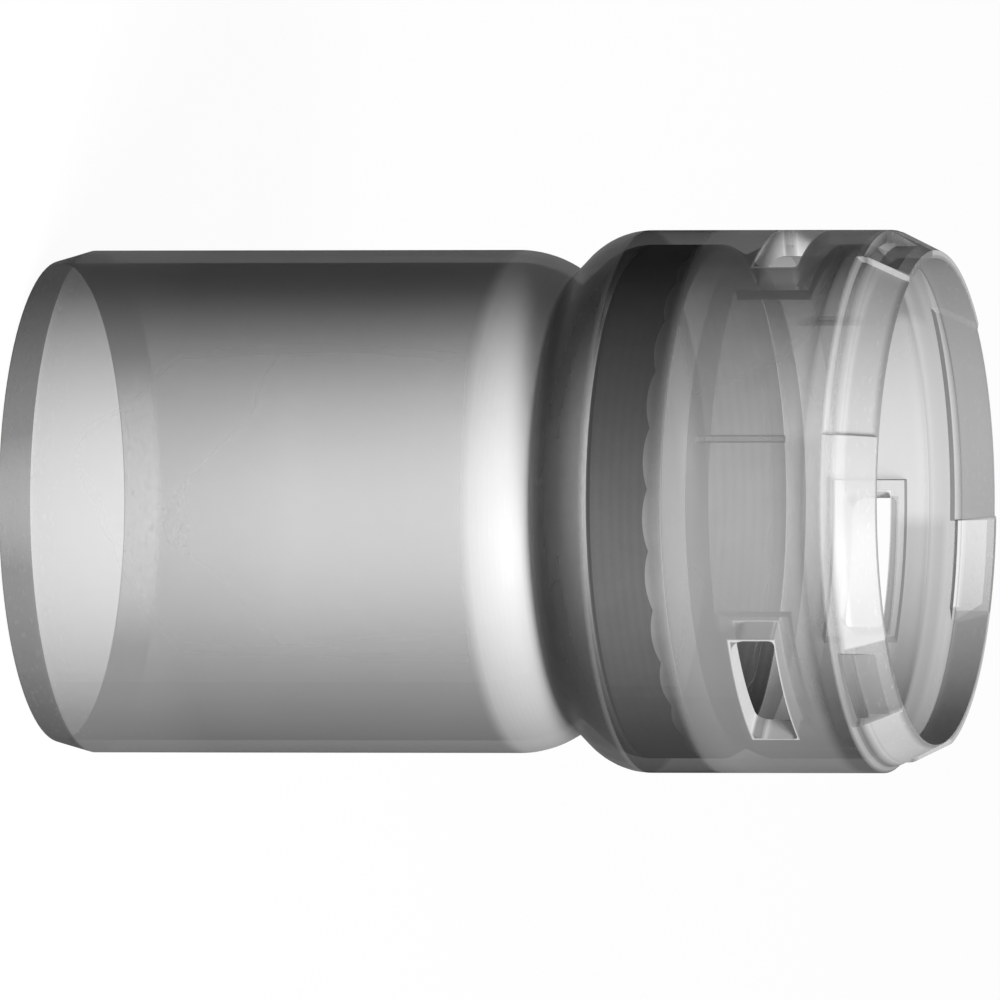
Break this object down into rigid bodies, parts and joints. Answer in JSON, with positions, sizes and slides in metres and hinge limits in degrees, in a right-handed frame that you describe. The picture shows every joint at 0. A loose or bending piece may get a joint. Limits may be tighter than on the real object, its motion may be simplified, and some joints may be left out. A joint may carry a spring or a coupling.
{
  "type": "flue pipe connector",
  "caption": "Translucent flue connector: plain spigot, V shaped neck groove, and a socket with windows, a tapered mouth and a dark rubber seal.",
  "frame": {"origin": "centre of the spigot's end face, which the part stands on", "axes": "+Z along the tube from the spigot to the socket's mouth, +X through the middle of the first window"},
  "size_m": [0.0862, 0.0862, 0.1436],
  "materials": {
    "body_plastic": "translucent, glossy",
    "seal_rubber": "matte"
  },
  "bodies": {
    "root": {"connector_body": "body_plastic", "lip_seal": "seal_rubber"}
  },
  "joints": []
}
